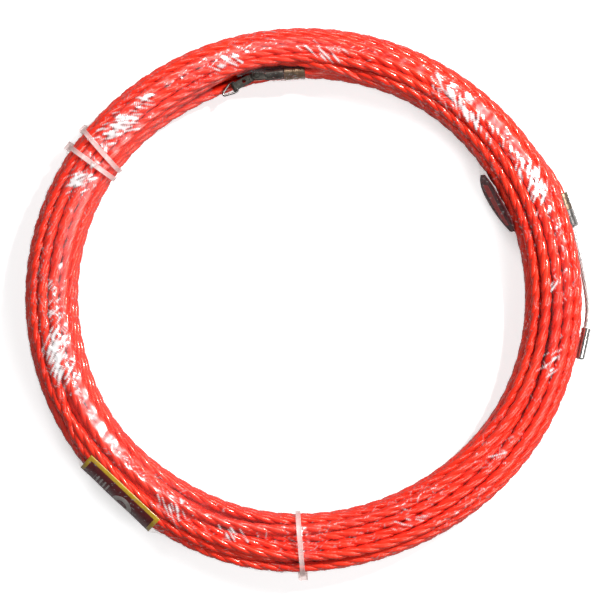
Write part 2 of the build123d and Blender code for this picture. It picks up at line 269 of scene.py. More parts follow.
def film_look():
    """Clear film: gloss at its creases and grazing edges, and painted white glare, a white diffuse standing
    in for the lamps' reflection, at its crumples and wrinkles.
    """
    look = Look("film")
    cloud = look.noise(look.place(), 90.0, 3.0, 0.6)
    crease = look.node("Attribute", attribute_name="crease").outputs["Fac"]
    painted_sheen_side = look.node("Attribute", attribute_name="painted_sheen_side").outputs["Fac"]
    painted_glare = look.node("Attribute", attribute_name="painted_glare").outputs["Fac"]
    rough = look.node("MapRange", {"Value": cloud, "To Min": 0.22, "To Max": 0.4}).outputs[0]
    gloss = look.node("BsdfGlossy", {"Color": (1, 1, 1, 1), "Roughness": rough})
    haze_and_painted_glare_white = look.node("BsdfDiffuse", {"Color": (0.92, 0.9, 0.9, 1)})
    # painted glare: the white diffuse over the crumples stands in for the lamps' reflection; the 0.06 alone
    # is the film's own haze
    haze_and_painted_glare_share = look.maths("ADD", 0.06, look.maths("MULTIPLY", painted_glare, 0.75))
    coat = look.node("MixShader", {0: haze_and_painted_glare_share, 1: gloss.outputs[0], 2: haze_and_painted_glare_white.outputs[0]})
    clear = look.node("BsdfTransparent", {"Color": (1, 0.985, 0.98, 1)})
    facing = look.node("LayerWeight", {"Blend": 0.5}).outputs["Facing"]
    share = look.maths("MULTIPLY", look.maths("POWER", facing, 3.0), 0.1)
    share = look.maths("ADD", share, look.maths("MULTIPLY", crease, 0.075))
    # painted sheen: a little more gloss on the film's left inner side, where the light catches it
    share = look.maths("ADD", share, look.maths("MULTIPLY", painted_sheen_side, 0.05))
    # the painted white glare also takes the film's share from clear
    share = look.maths("ADD", share, look.maths("MULTIPLY", painted_glare, 0.85))
    share = look.maths("ADD", share, 0.008)
    shader = look.node("MixShader", {0: look.node("Clamp", {0: share}).outputs[0],
                                     1: clear.outputs[0], 2: coat.outputs[0]})
    return look.surface(shader.outputs[0])


def card_look(length):
    """A printed card: a yellow border, a dark field, and a plain pictogram of a coil and a rule."""
    look = Look("card_print")
    u = look.node("Attribute", attribute_name="u").outputs["Fac"]
    v = look.node("Attribute", attribute_name="v").outputs["Fac"]
    edge_u = look.maths("GREATER_THAN", look.maths("ABSOLUTE", u), CARD_LENGTH / 2 - 2.4)
    off_middle = look.maths("ABSOLUTE", look.maths("SUBTRACT", v, length / 2))
    edge_v = look.maths("GREATER_THAN", off_middle, length / 2 - 2.5)
    border = look.maths("MAXIMUM", edge_u, edge_v)
    aside = look.maths("POWER", look.maths("SUBTRACT", u, 5.0), 2.0)
    down = look.maths("POWER", look.maths("SUBTRACT", v, 12.5), 2.0)
    far = look.maths("SQRT", look.maths("ADD", aside, down))
    ring = look.maths("LESS_THAN", look.maths("ABSOLUTE", look.maths("SUBTRACT", far, 5.2)), 1.6)
    row = look.maths("LESS_THAN", look.maths("ABSOLUTE", look.maths("SUBTRACT", v, 10.0)), 3.4)
    bar = look.maths("LESS_THAN", look.maths("ABSOLUTE", look.maths("ADD", u, 12.0)), 5.2)
    tick = look.maths("LESS_THAN", look.maths("PINGPONG", u, 1.25), 0.5)
    ticks = look.maths("MULTIPLY", look.maths("MULTIPLY", row, bar), tick)
    mark = look.maths("MAXIMUM", ring, ticks)
    wear = look.noise(look.place(), 240.0, 3.0)
    field = look.ramp(wear, [(0.3, (0.075, 0.004, 0.006)), (0.7, (0.14, 0.008, 0.01))])
    grey = look.ramp(wear, [(0.3, (0.34, 0.3, 0.28)), (0.7, (0.5, 0.46, 0.44))])
    yellow = look.ramp(wear, [(0.3, (0.4, 0.26, 0.015)), (0.7, (0.56, 0.37, 0.02))])
    print_one = look.node("Mix", {0: mark, 6: field, 7: grey}, data_type="RGBA").outputs[2]
    print_two = look.node("Mix", {0: border, 6: print_one, 7: yellow}, data_type="RGBA").outputs[2]
    shader = look.node("BsdfPrincipled", {
        "Base Color": print_two, "Roughness": 0.35, "Coat Weight": 0.3, "Coat Roughness": 0.1,
        "Normal": look.bump(wear, 0.08)})
    return look.surface(shader.outputs[0])


def leaflet_look():
    """A leaflet printed red but coloured with the dark maroon it shows in shade (painted shade), with one
    brighter band along it.
    """
    look = Look("leaflet_print_in_painted_shade")
    u = look.node("Attribute", attribute_name="u").outputs["Fac"]
    v = look.node("Attribute", attribute_name="v").outputs["Fac"]
    band = look.maths("LESS_THAN", look.maths("ABSOLUTE", look.maths("SUBTRACT", v, 0.68)), 0.1)
    middle = look.maths("LESS_THAN", look.maths("ABSOLUTE", look.maths("SUBTRACT", u, 0.55)), 0.33)
    wear = look.noise(look.place(), 300.0, 3.0)
    # painted shade: the leaflet's red print darkened to the maroon it shows in the shade of the hole's wall
    dark = look.ramp(wear, [(0.3, (0.05, 0.003, 0.005)), (0.7, (0.11, 0.006, 0.008))])
    bright = look.ramp(wear, [(0.3, (0.36, 0.012, 0.012)), (0.7, (0.5, 0.02, 0.016))])
    colour = look.node("Mix", {0: look.maths("MULTIPLY", band, middle), 6: dark, 7: bright},
                       data_type="RGBA").outputs[2]
    shader = look.node("BsdfPrincipled", {"Base Color": colour, "Roughness": 0.4,
                                          "Normal": look.bump(wear, 0.1)})
    return look.surface(shader.outputs[0])


def floor_look():
    """Pale paper that the camera sees almost white and that throws little light back on the object."""
    look = Look("floor_paper")
    grain = look.noise(look.place(), 400.0, 2.0)
    pale = look.ramp(grain, [(0.2, (0.93, 0.93, 0.93)), (0.8, (0.96, 0.96, 0.96))])
    seen = look.node("LightPath").outputs["Is Camera Ray"]
    colour = look.node("Mix", {0: seen, 6: (0.3, 0.3, 0.3, 1), 7: pale}, data_type="RGBA").outputs[2]
    shader = look.node("BsdfPrincipled", {
        "Base Color": colour, "Roughness": 0.9, "Emission Color": (1, 1, 1, 1),
        "Emission Strength": look.maths("MULTIPLY", seen, 0.55)})
    return look.surface(shader.outputs[0])


# ---------------------------------------------------------------- camera, light and floor


CAMERA_DISTANCE, CAMERA_HALF_WIDTH, CAMERA_OVER = 1000.0, 174.8, (1.3, -4.3)
WORLD_LIGHT = 0.12
FLOOR_HALF = 3


def camera():
    """Straight down over the coil, near its middle."""
    data = bpy.data.cameras.new("camera")
    data.angle = 2 * math.atan(CAMERA_HALF_WIDTH / CAMERA_DISTANCE)
    obj = bpy.data.objects.new("camera", data)
    obj.location = (CAMERA_OVER[0] * MM, CAMERA_OVER[1] * MM, (CAMERA_DISTANCE + MIDDLE_HEIGHT) * MM)
    bpy.context.scene.collection.objects.link(obj)
    bpy.context.scene.camera = obj


def softbox(name, location, size, watts):
    """A rectangular light that faces the middle of the coil. The location and size are in metres."""
    data = bpy.data.lights.new(name, "AREA")
    data.shape, data.size, data.size_y, data.energy = "RECTANGLE", size[0], size[1], watts
    obj = bpy.data.objects.new(name, data)
    obj.location = location
    obj.rotation_euler = (-Vector(location)).to_track_quat("-Z", "Y").to_euler()
    bpy.context.scene.collection.objects.link(obj)


def studio():
    world = bpy.data.worlds.new("studio")
    world.use_nodes = True
    world.node_tree.nodes["Background"].inputs[0].default_value = (1, 1, 1, 1)
    world.node_tree.nodes["Background"].inputs[1].default_value = WORLD_LIGHT
    bpy.context.scene.world = world
    softbox("key", (0.7, 0.6, 1.0), (0.12, 0.12), 20.5)
    softbox("side", (0.8, -0.5, 1.0), (0.7, 0.6), 8.0)
    softbox("back", (-0.3, 0.8, 1.1), (0.5, 0.4), 6.5)
    bpy.context.scene.view_settings.view_transform = "Standard"
    floor = bpy.data.meshes.new("floor")
    corners = [(x * FLOOR_HALF, y * FLOOR_HALF, 0) for x, y in ((-1, -1), (1, -1), (1, 1), (-1, 1))]
    floor.from_pydata(corners, [], [(0, 1, 2, 3)])
    obj = bpy.data.objects.new("floor", floor)
    bpy.context.scene.collection.objects.link(obj)
    floor.materials.append(floor_look())


# ---------------------------------------------------------------- the wound coil

TURNS_POINTS = 48
TURN_STEP = 2 * math.pi / TURNS_POINTS
FIRST_STEP, WHOLE_TURNS, LAST_STEP = 11, 22, 6
CONTACT = 5.85
WANDER = 1.2
SETTLING_ROUNDS, PUSH_SHARE, SMOOTH_SHARE = 420, 0.3, 0.22
TAIL_REACH, LEAD_REACH = 131.3, 152.6
COLUMNS, DEEP_COLUMN = (-12.4, -6.2, 0.0, 6.2, 12.4), 8
SHALLOW_HALF, DEEP_HALF = 8.3, 11.6
BLOCKED_REACH, BLOCKED_GAP = 11, 2.95
TIE_ROOM, TIE_SPREAD = 1.2, 1.6
SECTION_HALF_HEIGHT = COIL_HEIGHT / 2 - ROD_RADIUS
SECTION_CORNER = COIL_CORNER - ROD_RADIUS
OUTER_STRAYS = ((258, 22, 2.7),)
HOLE_STRAYS = ((58, 22, 1.8), (332, 20, 1.6), (213, 14, 1.3), (120, 12, -1.2))


def ellipse_radius(theta, half, centre=(0.0, 0.0)):
    """How far an ellipse is from the origin, along a direction."""
    c, s = np.cos(theta), np.sin(theta)
    a, b = half
    qa = (c / a) ** 2 + (s / b) ** 2
    qb = -2 * (c * centre[0] / a**2 + s * centre[1] / b**2)
    qc = (centre[0] / a) ** 2 + (centre[1] / b) ** 2 - 1
    return (-qb + np.sqrt(qb**2 - 4 * qa * qc)) / (2 * qa)


def uneven(theta, places):
    """How far a hand-wound coil strays from its ellipse: (direction, spread in degrees, mm)."""
    stray = 0.0
    for direction, spread, far in places:
        away = (np.degrees(theta) - direction + 180) % 360 - 180
        stray = stray + far * np.exp(-((away / spread) ** 2))
    return stray


def ring_walls(theta):
    """How far the hole's wall and the outer wall are from the origin."""
    inner = ellipse_radius(theta, HOLE, HOLE_SHIFT) + uneven(theta, HOLE_STRAYS)
    return inner, ellipse_radius(theta, OUTER) + uneven(theta, OUTER_STRAYS)


def ring_middle(theta):
    return sum(ring_walls(theta)) / 2


def ring_half(theta):
    inner, outer = ring_walls(theta)
    return (outer - inner) / 2


def first_slots():
    """Where each turn starts in the section: columns from the inside out, down one and up the next."""
    slots = []
    for column, across in enumerate(COLUMNS):
        outermost = abs(across) > DEEP_COLUMN
        half = SHALLOW_HALF if outermost else DEEP_HALF
        rows = np.linspace(half, -half, 4 if outermost else 5)
        slots += [(across, up) for up in (rows if column % 2 == 0 else rows[::-1])]
    slots[-1], slots[-2] = slots[-2], slots[-1]
    return np.array(slots)


def obstacles():
    """Round things that the turns leave room for: (direction, across, up, radius)."""
    found = []
    spots = [(place(TAIL_START, TAIL_HEADING, x), 3.9) for x in (-8.0, 0.0, 6.0, 12.0, 18.0, 23.0)]
    spots += [(place(LINK_PIN, LINK_HEADING, x, 0, z), 3.9)
              for x in (0.0, 8.0, 14.0, 20.0) for z in (0.0, 6.0)]
    spots += [(place(LEAD_START, LEAD_HEADING, x), r)
              for x, r in ((-22.0, 3.0), (-12.0, 3.2), (0.0, 4.0), (10.0, 4.2), (20.0, 4.3))]
    for (x, y, z), radius in spots:
        found.append((math.atan2(y, x), math.hypot(x, y), z - MIDDLE_HEIGHT, radius))
    return found


def angle_between(a, b):
    return np.abs((a - b + math.pi) % (2 * math.pi) - math.pi)


def planned_spots(theta):
    """Where the turns would lie: each in its slot, stepping to the next one once a turn, and wandering."""
    slots = first_slots()
    random = np.random.default_rng(11)
    turn = np.arange(len(theta)) / TURNS_POINTS
    whole = np.minimum(turn.astype(int), len(slots) - 2)
    begin = random.uniform(0.0, 0.6, len(slots))[whole]
    share = np.clip((turn - whole - begin) / 0.4, 0, 1)
    share = (share * share * (3 - 2 * share))[:, None]
    spot = slots[whole] * (1 - share) + slots[whole + 1] * share
    phase = random.uniform(0, 2 * math.pi, (len(slots), 2, 2))[whole]
    wave = np.sin(theta[:, None] * 2 + phase[:, 0]) + np.sin(theta[:, None] * 3 + phase[:, 1])
    return spot + WANDER * wave


def blocked_spots():
    """What keeps the turns off in each section: (section, across, up, reach)."""
    blocked = []
    for where, reach, up, radius in obstacles():
        for j in range(TURNS_POINTS):
            if angle_between(j * TURN_STEP, where) * reach < BLOCKED_REACH:
                blocked.append((j, reach - ring_middle(j * TURN_STEP), up, radius + BLOCKED_GAP))
    return blocked


def room_under():
    """How much room each section keeps for a tie under the coil."""
    low = np.zeros(TURNS_POINTS)
    for (x, y), _, _ in TIES.values():
        away = angle_between(np.arange(TURNS_POINTS) * TURN_STEP, math.atan2(y, x))
        low = np.maximum(low, np.where(away < TIE_SPREAD * TURN_STEP, TIE_ROOM, 0.0))
    return low


def pushed_apart(spot, table, absent):
    """Each section's turns moved off each other. The table lists each section's points."""
    near = spot[table]
    gap = near[:, :, None] - near[:, None]
    distance = np.linalg.norm(gap, axis=-1) + 1e-6
    push = np.clip(CONTACT - distance, 0, None)
    push[absent[:, :, None] | absent[:, None]] = 0
    own = np.arange(table.shape[1])
    push[:, own, own] = 0
    move = (gap / distance[..., None] * push[..., None]).sum(2) * PUSH_SHARE
    shift = np.zeros_like(spot)
    shift[table[~absent]] = move[~absent]
    return spot + shift


def held_inside(spot, core):
    """Every spot brought back within the section's rounded outline."""
    over = np.maximum(np.abs(spot) - core, 0)
    length = np.linalg.norm(over, axis=1) + 1e-9
    keep = np.minimum(1, SECTION_CORNER / length)[:, None]
    return np.where(over > 0, np.sign(spot) * (core + over * keep), spot)


def wound_points():
    """One point every few degrees of every turn, settled against each other like rods in a bundle."""
    count = FIRST_STEP + WHOLE_TURNS * TURNS_POINTS - LAST_STEP + 1
    step = FIRST_STEP - np.arange(count)
    theta = step * TURN_STEP
    spot = planned_spots(theta)
    middle, half = ring_middle(theta), ring_half(theta) - ROD_RADIUS
    first = np.array([TAIL_REACH - middle[0], TAIL_START[2] - MIDDLE_HEIGHT])
    last = np.array([LEAD_REACH - middle[-1], LEAD_START[2] - MIDDLE_HEIGHT])
    section = np.mod(step, TURNS_POINTS)
    members = [np.flatnonzero(section == j) for j in range(TURNS_POINTS)]
    width = max(len(m) for m in members)
    table = np.array([np.pad(m, (0, width - len(m)), constant_values=-1) for m in members])
    core = np.stack([half - SECTION_CORNER, np.full(count, SECTION_HALF_HEIGHT - SECTION_CORNER)], 1)
    blocked, lowest = blocked_spots(), room_under()[section] - SECTION_HALF_HEIGHT
    for _ in range(SETTLING_ROUNDS):
        spot = pushed_apart(spot, table, table < 0)
        smooth = (spot[:-2] + spot[2:]) / 2
        spot[1:-1] += SMOOTH_SHARE * (smooth - spot[1:-1])
        for j, across, up, reach in blocked:
            who = members[j]
            out = spot[who] - (across, up)
            distance = np.linalg.norm(out, axis=1) + 1e-6
            spot[who] += out / distance[:, None] * np.clip(reach - distance, 0, None)[:, None]
        spot = held_inside(spot, core)
        spot[:, 1] = np.maximum(spot[:, 1], lowest)
        spot[0], spot[-1] = first, last
    reach = middle + spot[:, 0]
    return np.stack([reach * np.cos(theta), reach * np.sin(theta), spot[:, 1] + MIDDLE_HEIGHT], 1)


def tape_route():
    """From inside the tail sleeve, round every turn, into the lead sleeve."""
    tail = [place(TAIL_START, TAIL_HEADING, x) for x in (7.5, -1.0, -9.0)]
    lead = [place(LEAD_START, LEAD_HEADING, x, y)
            for x, y in ((-29.0, -7.6), (-14.0, -2.6), (-3.0, 0.0), (6.5, 0.0))]
    return np.concatenate([tail, wound_points(), lead])


# ---------------------------------------------------------------- fittings


def crimped(length, radius, *grooves):
    """A tube's profile with rolled grooves, as (along, radius)."""
    line = [(0, radius - 0.9), (0, radius - 0.3), (0.3, radius)]
    for at in grooves:
        line += [(at + x, radius - deep) for x, deep in ((-0.55, 0), (-0.3, 0.28), (0.3, 0.28), (0.55, 0))]
    return line + [(length - 0.3, radius), (length, radius - 0.3), (length, radius - 0.9)]


TIP_RADIUS, TIP_LENGTH, NOSE_ROUND = 2.7, 18.4, 1.6
NOSE = [(TIP_LENGTH - NOSE_ROUND + NOSE_ROUND * math.sin(t), 1.1 + NOSE_ROUND * math.cos(t))
        for t in np.linspace(0, math.pi / 2, 7)]
FITTINGS = {
    "lead_sleeve": (LEAD_START, LEAD_HEADING, 0, crimped(10.0, 4.0, 3.0, 6.0), "brass"),
    "lead_adapter": (LEAD_START, LEAD_HEADING, 10.0,
                     [(0, 2.0), (0, 3.9), (0.4, 4.3), (3.4, 4.3), (3.7, 3.95), (4.3, 3.95), (4.6, 4.3),
                      (9.4, 4.3), (10.4, 3.5), (10.4, 1.55)], "plated_steel"),
    "tip_ferrule": (TIP_START, TIP_HEADING, 0,
                    crimped(TIP_LENGTH, TIP_RADIUS, 2.4, 5.0)[:-3] + NOSE, "plated_steel"),
    "tail_sleeve": (TAIL_START, TAIL_HEADING, 0, crimped(12.0, 3.9, 3.2, 6.6), "brass"),
}


def turned_piece(node, start, heading, first, profile, slot):
    """A round fitting turned from its profile, with a fine machined finish."""
    sides = 48
    points = [place(start, heading, first + x, r * math.cos(t), r * math.sin(t))
              for x, r in profile for t in np.arange(sides) * 2 * math.pi / sides]
    faces = band_faces(len(profile), sides, True)
    faces += [list(range(sides)), list(range((len(profile) - 1) * sides, len(profile) * sides))[::-1]]
    piece = mesh_piece(node + "_turned", points, faces, "coil", LOOKS[slot])
    piece.data.set_sharp_from_angle(angle=math.radians(35))
    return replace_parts(piece, node)


# ---------------------------------------------------------------- ties

STRAP_STAND, STRAP_HALF, STRAP_BED, RUNG = 0.62, 1.4, 0.85, 0.12
STRAP_PROFILE = ((-1.4, -0.35), (-1.4, 0.35), (-1.2, 0.5), (-1.0, 0.5), (-0.85, 0.28), (0.85, 0.28),
                 (1.0, 0.5), (1.2, 0.5), (1.4, 0.35), (1.4, -0.35), (1.2, -0.5), (-1.2, -0.5))
HEAD_SIZE = (4.6, 5.4, 6.0)


def tie_ends(name):
    """Where a tie's strap meets the wall of the hole and the outer wall, along its own heading."""
    (x, y), heading, _ = TIES[name]
    ex, ey = math.cos(math.radians(heading)), math.sin(math.radians(heading))
    ends = []
    for (a, b), (cx, cy), sign in ((HOLE, HOLE_SHIFT, -1), (OUTER, (0, 0), 1)):
        qa = (ex / a) ** 2 + (ey / b) ** 2
        qb = 2 * ((x - cx) * ex / a**2 + (y - cy) * ey / b**2)
        qc = ((x - cx) / a) ** 2 + ((y - cy) / b) ** 2 - 1
        roots = [(-qb + k * math.sqrt(qb * qb - 4 * qa * qc)) / (2 * qa) for k in (1, -1)]
        ends.append(min(roots, key=abs) if sign < 0 else max(roots))
    ends[1] += float(uneven(math.atan2(y, x), OUTER_STRAYS))
    return ends


def strap_outline(name, stand, step=0.5):
    """The strap's line round the bundle in its own upright plane, from the head over the top and back."""
    inner, outer = tie_ends(name)
    high = TIES[name][2] - FILM
    corner, width = COIL_CORNER, outer - inner
    middle = (inner + outer) / 2
    half = (width / 2, COIL_HEIGHT / 2)
    line = [(outer + stand, high)]
    for cx, cz, first in ((1, 1, 0), (-1, 1, 90), (-1, -1, 180), (1, -1, 270)):
        centre = (middle + cx * (half[0] - corner), cz * (half[1] - corner) + COIL_HEIGHT / 2)
        for turn in range(first, first + 91, 5):
            c, k = math.cos(math.radians(turn)), math.sin(math.radians(turn))
            line.append((centre[0] + (corner + stand) * c, centre[1] + (corner + stand) * k))
    line.append((outer + stand, high))
    line = np.array(line)
    line[:, 1] = np.maximum(line[:, 1], stand) + FILM
    run = lengths_along(line)
    even = np.arange(0, run[-1], step)
    return np.stack([np.interp(even, run, line[:, 0]), np.interp(even, run, line[:, 1])], 1)


def tie_point(name, along, across, up):
    """A point in a tie's own plane, in the row frame."""
    (x, y), heading, _ = TIES[name]
    return place((x, y, 0.0), heading, along, across, up)


def tie_strap(name):
    """The strap, with raised rims and a fine ladder."""
    line = strap_outline(name, STRAP_STAND)
    tangent = np.gradient(line, axis=0)
    tangent /= np.linalg.norm(tangent, axis=1)[:, None]
    out = np.stack([tangent[:, 1], -tangent[:, 0]], 1)
    points = []
    for i, ((w, z), (ow, oz)) in enumerate(zip(line, out)):
        for across, off in STRAP_PROFILE:
            rung = RUNG if abs(across) == STRAP_BED and i % 3 == 0 else 0.0
            points.append(tie_point(name, w + ow * (off + rung), across, z + oz * (off + rung)))
    n = len(STRAP_PROFILE)
    faces = [[a, d, c, b] for a, b, c, d in band_faces(len(line), n, True)]
    return points, faces + [list(range(n)), list(range((len(line) - 1) * n, len(line) * n))[::-1]]


def tie_head(name):
    """The locking head: a block with rounded edges that is hollow at both mouths."""
    head = bmesh.new()
    bmesh.ops.create_cube(head, size=1.0)
    bmesh.ops.scale(head, vec=HEAD_SIZE, verts=head.verts)
    for sign in (1, -1):
        top = [f for f in head.faces if f.normal.z * sign > 0.9]
        bmesh.ops.inset_region(head, faces=top, thickness=1.0)
        bmesh.ops.translate(head, vec=(0, 0, -1.6 * sign), verts=list({v for f in top for v in f.verts}))
    edges = [e for e in head.edges if max(abs(v.co.y) for v in e.verts) > HEAD_SIZE[1] / 2 - 0.01
             and max(abs(v.co.x) for v in e.verts) > HEAD_SIZE[0] / 2 - 0.01]
    bmesh.ops.bevel(head, geom=edges, offset=0.7, segments=3, profile=0.6, affect="EDGES")
    head.verts.ensure_lookup_table()
    outer, high = tie_ends(name)[1], TIES[name][2]
    points = [tie_point(name, outer + 1.35 + v.co.x, v.co.y, high + v.co.z) for v in head.verts]
    return points, [[v.index for v in f.verts] for f in head.faces]


def tie_stub(name):
    """The strap's cut end, under the head."""
    outer, high = tie_ends(name)[1], TIES[name][2]
    stub = [(outer + 1.6 + 0.25 * k, high - HEAD_SIZE[2] / 2 - 1.3 * k) for k in range(3)]
    points = [tie_point(name, w + off, across, z) for w, z in stub
              for across, off in ((-1.5, -0.5), (-1.5, 0.5), (1.5, 0.5), (1.5, -0.5))]
    faces = [[a, d, c, b] for a, b, c, d in band_faces(len(stub), 4, True)]
    return points, faces + [list(range(8, 12))]


def tie_piece(name):
    """A moulded tie: its strap, its locking head and its cut end."""
    points, faces = [], []
    for part in (tie_strap, tie_head, tie_stub):
        more_points, more_faces = part(name)
        faces += [[v + len(points) for v in face] for face in more_faces]
        points += more_points
    tie = mesh_piece(name + "_strap", points, faces, "coil", NYLON)
    tie.data.set_sharp_from_angle(angle=math.radians(38))
    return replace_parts(tie, name)


# ---------------------------------------------------------------- card and leaflet

CARD_HEADING, CARD_LENGTH, CARD_SKIRT = 226.7, 53.0, 9.0
CARD_STAND, CARD_TOP_ANGLE = 0.1, 11.0


def card_profile():
    """The card across its bend: over the outer shoulder, then down the wall."""
    heading = math.radians(CARD_HEADING)
    wall = math.hypot(OUTER[0] * math.cos(heading), OUTER[1] * math.sin(heading)) + CARD_STAND
    top, bend = FILM + COIL_HEIGHT + CARD_STAND, COIL_CORNER + CARD_STAND
    line = [(wall - bend + bend * math.sin(t), top - bend + bend * math.cos(t))
            for t in np.linspace(math.radians(CARD_TOP_ANGLE), math.pi / 2, 20)]
    return line + [(wall, top - bend - CARD_SKIRT * k / 7) for k in range(1, 8)]


def card_piece():
    """The card, a little wavy, with its printing placed by u along it and v down it."""
    line = np.array(card_profile())
    run = lengths_along(line)
    spans = np.linspace(-CARD_LENGTH / 2, CARD_LENGTH / 2, 54)
    points, u, v = [], [], []
    for (w, z), r in zip(line, run):
        for y in spans:
            lift = 0.25 * math.sin(y * 0.21 + r * 0.13) * math.sin(r * 0.09)
            points.append(place((0, 0, 0), CARD_HEADING, w + 0.4 * lift, y, z + lift * 0.5))
            u.append(y)
            v.append(r)
    faces = [[a, d, c, b] for a, b, c, d in band_faces(len(line), len(spans), False)]
    card = mesh_piece("label_card_print", points, faces, "coil", card_look(run[-1]))
    number_on(card, "u", u)
    number_on(card, "v", v)
    thick = card.modifiers.new("thickness", "SOLIDIFY")
    thick.thickness, thick.offset = 0.35 * MM, 0.0
    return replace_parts(card, "label_card")


LEAFLET_FROM, LEAFLET_TO, LEAFLET_BULGE = (101.9, 71.4), (119.9, 37.2), (105.4, 56.6)


def leaflet_piece():
    """A folded leaflet that leans against the wall of the hole, with its folded edge down and inwards."""
    a, b = np.array(LEAFLET_FROM), np.array(LEAFLET_TO)
    chord = (a + b) / 2
    out = np.array(LEAFLET_BULGE) - chord
    profile = [(-0.55, 9.0), (0.3, 8.4), (0.8, 8.2), (0.96, 8.9), (1.0, 10.2), (0.97, 11.6), (0.88, 13.0),
               (0.7, 15.0), (0.45, 17.4), (0.2, 19.6), (-0.05, 21.4), (-0.3, 22.6), (-0.55, 22.9)]
    run = lengths_along([(7.5 * q, z) for q, z in profile])
    bulge, height = zip(*profile)
    line = [(np.interp(r, run, bulge), np.interp(r, run, height)) for r in np.linspace(0, run[-1], 44)]
    points, u, v = [], [], []
    spans = np.linspace(0.03, 0.97, 46)
    for k, (q, z) in enumerate(line):
        for t in spans:
            lens = (1 - abs(2 * t - 1) ** 2.6) * 0.98
            dent = 0.25 * math.sin(t * 9.0 + k * 0.25) * lens
            x, y = a * (1 - t) + b * t + out * (q * lens)
            points.append((x - dent * 0.6, y - dent * 0.3, z + (1 - lens) * (15.5 - z) * 0.35 + dent))
            u.append(t)
            v.append(k / 43)
    faces = [[a, d, c, b] for a, b, c, d in band_faces(len(line), len(spans), False)]
    piece = mesh_piece("leaflet_sheet", points, faces, "coil", leaflet_look())
    number_on(piece, "u", u)
    number_on(piece, "v", v)
    thick = piece.modifiers.new("thickness", "SOLIDIFY")
    thick.thickness, thick.offset = 0.5 * MM, 0.0
    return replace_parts(piece, "leaflet")


# ---------------------------------------------------------------- film

FILM_STATIONS, FILM_ROUND, FILM_WAYS = 1120, 156, 90
FILM_LAP, FILM_FLAT = 0.35, (0.107, 0.9)
FILM_RADIUS, FILM_SECTION_RADIUS = 143.0, 15.5
# Where the film is crumpled: direction in degrees, place round the section in degrees (0 outwards,
# 90 up, 180 the hole), reach along and across in mm, and how strongly it is crumpled, which also sets how
# much painted white glare it carries
CRUMPLES = (
    (137, 92, 12, 5.5, 0.9), (152, 94, 6, 5.0, 0.85), (128, 88, 4, 3.0, 0.6), (193, 94, 13, 5.5, 1.1),
    (180, 104, 12, 3.5, 0.5), (50, 98, 17, 4.5, 0.78), (35, 88, 9, 3.0, 0.5), (26.5, 78, 11, 5.0, 0.92),
    (238, 92, 8, 5.0, 0.5), (252, 96, 7, 4.0, 0.5), (296, 92, 9, 4.0, 0.45), (320, 95, 7, 4.0, 0.45),
    (3, 92, 7, 4.0, 0.45), (85, 96, 9, 4.0, 0.5), (108, 92, 10, 4.0, 0.6), (345, 88, 6, 3.5, 0.4),
)


def film_beads():
    """Round things under the film besides the turns: (point, radius, how steeply the film falls off)."""
    for x in np.arange(-1.0, 10.1, 1.0):
        yield place(LEAD_START, LEAD_HEADING, x), 4.15, 1.2
    for x in np.arange(10.5, 20.5, 1.0):
        yield place(LEAD_START, LEAD_HEADING, x), 4.45, 2.5
    for x in np.arange(0.0, TIP_LENGTH + 0.1, 1.0):
        yield place(TIP_START, TIP_HEADING, x), 2.85 if x < 17 else 2.0, 2.0
    for x in np.arange(0.0, 24.0, 1.0):
        yield place(TAIL_START, TAIL_HEADING, x), 4.05, 1.0
    for name in TIES:
        for w, z in strap_outline(name, STRAP_STAND, 1.5):
            for across in (-STRAP_HALF, STRAP_HALF):
                yield tie_point(name, w, across, z), 0.7, 1.1
    for w, z in card_profile()[::3]:
        for y in np.linspace(-CARD_LENGTH / 2, CARD_LENGTH / 2, 12):
            yield place((0, 0, 0), CARD_HEADING, w, y, z), 0.5, 0.5
    for t in np.linspace(0.04, 0.96, 16):
        a, b, c = (np.array(p) for p in (LEAFLET_FROM, LEAFLET_TO, LEAFLET_BULGE))
        at = a * (1 - t) + b * t + (c - (a + b) / 2) * 4 * t * (1 - t)
        for z in (8.3, 15.5, 22.7):
            yield np.array([*at, z]), 0.5, 0.6


def film_supports(theta, ways):
    """How far the film stands from the middle of each section, in each direction."""
    angle = np.unwrap(np.arctan2(tape_path[:, 1], tape_path[:, 0]))[::-1]
    reach = np.hypot(tape_path[:, 0], tape_path[:, 1])[::-1]
    height = tape_path[::-1, 2]
    middle = ring_middle(theta)
    c, s = np.cos(ways)[None], np.sin(ways)[None]
    support = np.full((len(theta), len(ways)), -99.0)
    run = lengths_along(tape_path)[::-1]
    for turn in range(-WHOLE_TURNS - 2, 3):
        at = theta + turn * 2 * math.pi
        here = (at >= angle[0]) & (at <= angle[-1])
        across = np.interp(at, angle, reach) - middle
        up = np.interp(at, angle, height) - MIDDLE_HEIGHT
        phase = np.interp(at, angle, run) / LAY * 2 * math.pi
        lobe = np.max([np.cos(phase[:, None] + k * 2 * math.pi / 3 - ways[None]) for k in range(3)], 0)
        found = across[:, None] * c + up[:, None] * s + LAID_AT * lobe + STRAND + 0.06
        support = np.where(here[:, None], np.maximum(support, found), support)
    for point, radius, fall in film_beads():
        where, far = math.atan2(point[1], point[0]), math.hypot(point[0], point[1])
        away = angle_between(theta, where) * far
        near = np.flatnonzero(away < 9)
        left = radius - fall * away[near]
        across, up = far - middle[near], point[2] - MIDDLE_HEIGHT
        found = across[:, None] * c + up * s + left[:, None]
        support[near] = np.maximum(support[near], found)
    return support


def ridge(spot, power):
    """Noise folded into sharp ridges, 1 on the ridge."""
    return (1 - min(1.0, abs(noise.noise(spot)) * 2.2)) ** power


